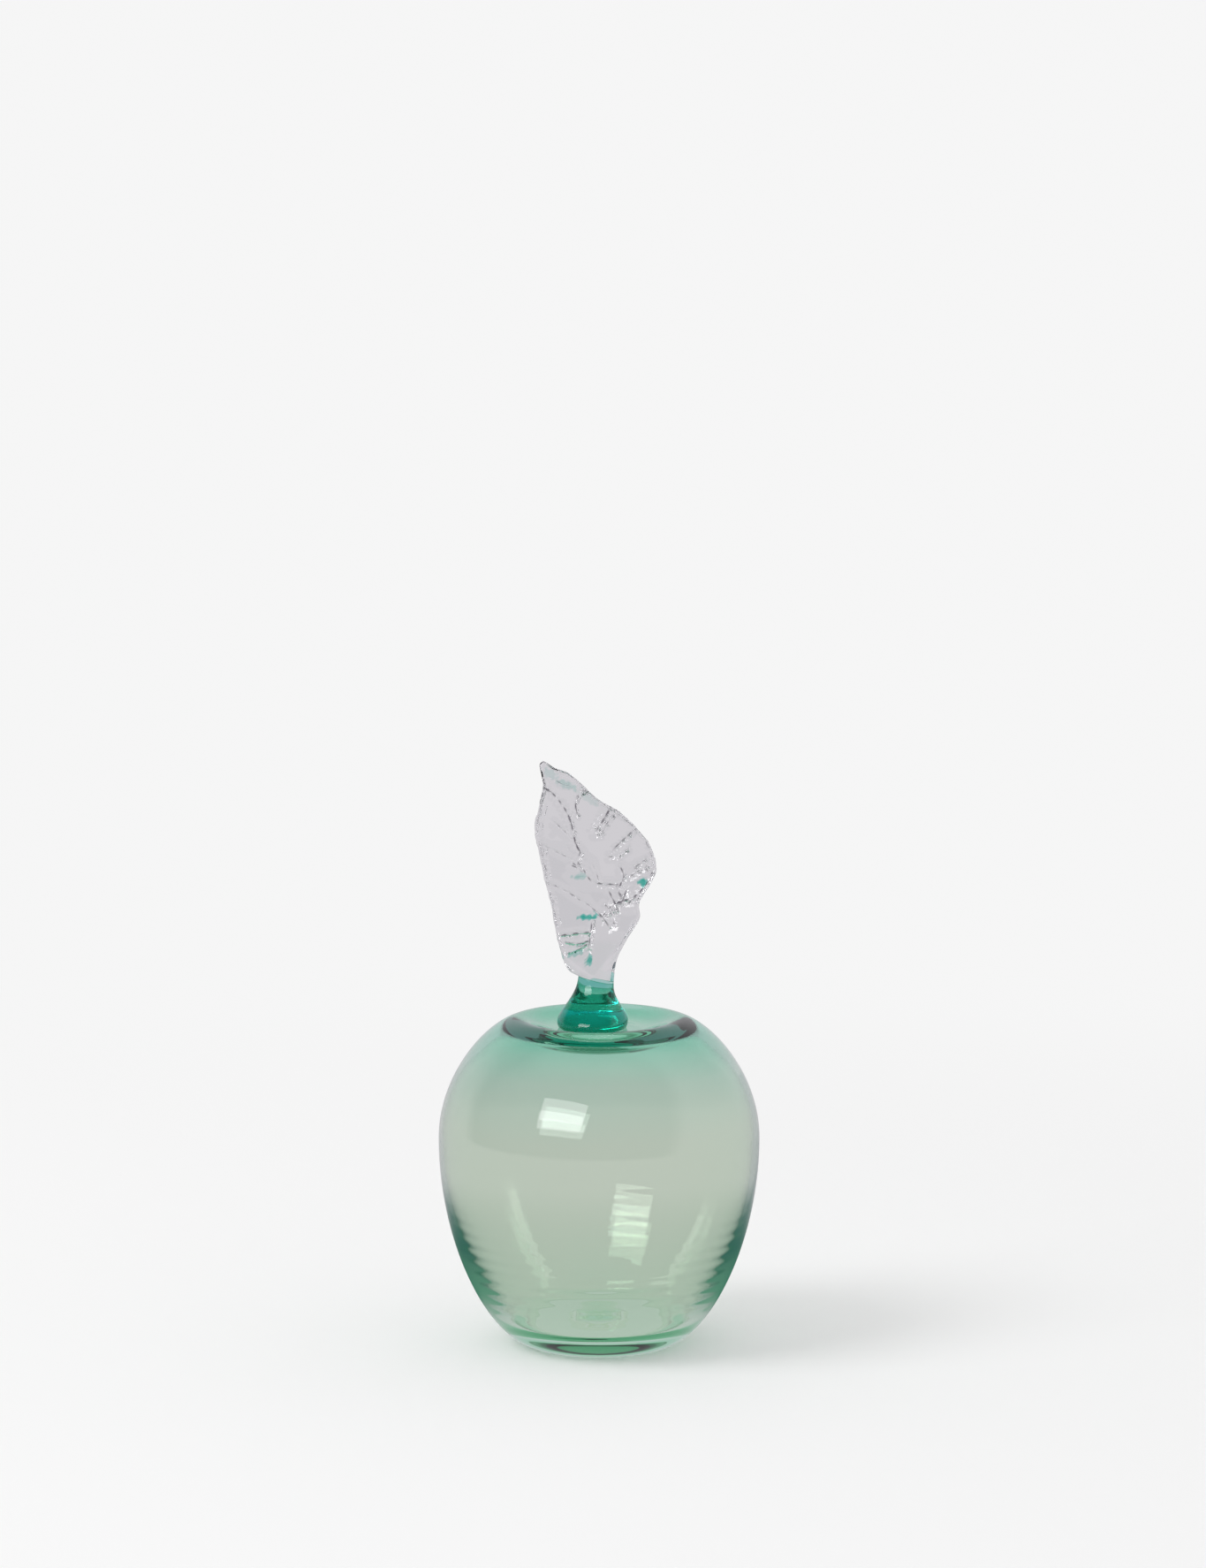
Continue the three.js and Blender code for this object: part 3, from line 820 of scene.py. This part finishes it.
# Pontil button
def button_skin():
    """Disc with a round lower edge, sunk a little into the roof of the hollow."""
    top = PONTIL_DEPTH + BUTTON_SINK
    wall_low = top - BUTTON_WALL
    flat_edge = (BUTTON_R - BUTTON_ROUND, BUTTON_LOW_Z)
    below_wall = (BUTTON_R, wall_low - BUTTON_WALL_PULL)
    round_off = (flat_edge[0] + BUTTON_ROUND_PULL, BUTTON_LOW_Z)
    profile = np.concatenate([
        line((0, BUTTON_LOW_Z), flat_edge, 14),
        bezier(flat_edge, round_off, below_wall, (BUTTON_R, wall_low), 10),
        line((BUTTON_R, wall_low), (BUTTON_R, top), 4),
        line((BUTTON_R, top), (CAP_MIDDLE_R, top), 8),
    ])
    return closed_skin((0, 0, BUTTON_LOW_Z), ring_stack(profile, ROUND_SIDES), (0, 0, top))


def button_joints(p):
    """The button is joined to the hollow and on the table, apart from its round edge, which shows faintly."""
    joined = (p[:, 2] > PONTIL_DEPTH) | (np.hypot(p[:, 0], p[:, 1]) < BUTTON_R - BUTTON_ROUND)
    return np.where(joined, 1, SCAR_FUSION)


button = make_piece("pontil_scar", [button_skin()], GREEN, button_joints)
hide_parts("pontil_button")


# Floor, background and light
def stage_floor():
    """Pale floor with the shadow. Light that has turned once in the glass sees a ring of dark teal ground,
    painted shade for the glass's lower edges; the floor the camera sees there stays pale.
    """
    material = bpy.data.materials.new("studio_floor")
    graph = Graph(material)
    graph.nodes.remove(graph.nodes["Principled BSDF"])
    path = graph.add("LightPath")
    distance = graph.measure("LENGTH", graph.add("TexCoord").outputs["Object"])
    begun = graph.ranged(distance, *EDGE_SHADE_BEGINS, soft=True)
    not_ended = graph.ranged(distance, *EDGE_SHADE_ENDS, soft=True)
    turned_once = graph.maths("COMPARE", path.outputs["Glossy Depth"], 1, HALF_COUNT)
    # Painted shade: dark teal ground only for light that has turned once in the glass
    edge_shade = graph.maths("MULTIPLY", turned_once, graph.maths("MULTIPLY", begun, not_ended), clamp=True)
    through_glass = graph.emission(graph.mixed(edge_shade, PAPER, EDGE_SHADE_GROUND))
    matt = graph.add("BsdfDiffuse")
    graph.feed(matt.inputs["Color"], WHITE)
    fade = graph.ranged(distance, *FLOOR_FADE, soft=True)
    seen = graph.shaded(fade, matt.outputs["BSDF"], graph.emission(WHITE))
    surface = graph.shaded(path.outputs["Is Camera Ray"], through_glass, seen)
    graph.feed(graph.nodes["Material Output"].inputs["Surface"], surface)
    mesh = bpy.data.meshes.new("floor")
    corners = [(FLOOR_R * math.cos(a), FLOOR_R * math.sin(a), FLOOR_Z) for a in turns(FLOOR_CORNERS)]
    mesh.from_pydata(corners, [], [tuple(range(FLOOR_CORNERS))])
    mesh.materials.append(material)
    floor = bpy.data.objects.new("floor", mesh)
    bpy.context.scene.collection.objects.link(floor)


def studio_world():
    """Even light on the floor. In the glass: paper all round, a dark room on one side and two bright strips.

    The room shows in reflections on the near side of the glass, the strips in those on its far side.
    """
    world = bpy.data.worlds.new("studio")
    bpy.context.scene.world = world
    graph = Graph(world)
    direction = graph.add("TexCoord").outputs["Generated"]
    path = graph.add("LightPath")
    passes = path.outputs["Transmission Depth"]

    def near_direction(aim, low, high):
        return graph.ranged(graph.measure("DOT_PRODUCT", direction, aim), low, high, soft=True)

    def upright_strip(azimuth):
        a = math.radians(azimuth)
        aim = (STRIP_LEVEL * math.sin(a), -STRIP_LEVEL * math.cos(a), STRIP_RISE)
        sideways = graph.measure("DOT_PRODUCT", direction, (math.cos(a), math.sin(a), 0))
        in_strip = graph.maths("COMPARE", sideways, 0, STRIP_HALF_WIDTH)
        return graph.maths("MULTIPLY", near_direction(aim, *STRIP_ENDS), in_strip)

    turned_once = graph.maths("COMPARE", path.outputs["Glossy Depth"], 1, HALF_COUNT)
    near_side = graph.maths("MULTIPLY", turned_once, graph.maths("LESS_THAN", passes, FAR_SIDE_PASSES))
    far_side = graph.maths("MULTIPLY", turned_once, graph.maths("GREATER_THAN", passes, FAR_SIDE_PASSES))
    room = graph.maths("MULTIPLY", near_direction(ROOM_SIDE, *ROOM_EDGE), near_side)
    strips = graph.maths("MAXIMUM", *(upright_strip(azimuth) for azimuth in STRIP_AZIMUTHS))
    bright = graph.maths("MULTIPLY", strips, far_side)
    in_glass = graph.mixed(bright, graph.mixed(room, PAPER, ROOM), STRIP)
    glass_ray = graph.maths("MAXIMUM", path.outputs["Is Glossy Ray"], path.outputs["Is Transmission Ray"])
    from_floor = graph.maths("GREATER_THAN", path.outputs["Diffuse Depth"], HALF_COUNT)
    on_glass = graph.mixed(glass_ray, AMBIENT, in_glass)
    on_floor = graph.mixed(glass_ray, AMBIENT, THROUGH_GLASS)
    lit = graph.mixed(from_floor, on_glass, on_floor)
    shown = graph.mixed(path.outputs["Is Camera Ray"], lit, WHITE)
    graph.feed(graph.nodes["Background"].inputs["Color"], shown)


def softbox(name, azimuth, elevation, width, height, power, mirrored):
    """Area lamp aimed at the apple. Azimuth is counted from the camera's side, positive to the right.

    A mirrored lamp shows in the glass and leaves the floor alone, the others do the opposite.
    """
    light = bpy.data.lights.new(name, "AREA")
    light.shape = "RECTANGLE"
    light.size = width
    light.size_y = height
    light.energy = power
    obj = bpy.data.objects.new(name, light)
    a = math.radians(azimuth)
    e = math.radians(elevation)
    back = np.array([math.sin(a) * math.cos(e), -math.cos(a) * math.cos(e), math.sin(e)])
    obj.location = LAMP_AIM + back * LAMP_DISTANCE
    obj.rotation_euler = (math.pi / 2 - e, 0, a)
    obj.visible_glossy = mirrored
    obj.visible_transmission = mirrored
    obj.visible_diffuse = not mirrored
    bpy.context.scene.collection.objects.link(obj)


stage_floor()
studio_world()
softbox("upper_pane", azimuth=-30, elevation=34, width=1.7, height=0.85, power=18, mirrored=True)
softbox("lower_pane", azimuth=-31, elevation=26, width=1.7, height=0.7, power=14, mirrored=True)
softbox("left_bank", azimuth=-64, elevation=45, width=1.4, height=1.4, power=25, mirrored=False)

camera = bpy.data.cameras.new("camera")
camera.sensor_fit = "VERTICAL"
camera.sensor_height = 36.0
camera.sensor_width = 36.0
camera.angle_y = math.radians(CAMERA_ANGLE)
camera.clip_start = 0.05
camera.clip_end = 50.0
view = bpy.data.objects.new("camera", camera)
view.location = [c * MM for c in CAMERA_PLACE]
view.rotation_euler = (math.radians(90 - CAMERA_PITCH), 0, 0)
bpy.context.scene.collection.objects.link(view)
bpy.context.scene.camera = view
bpy.context.scene.view_settings.view_transform = "Standard"
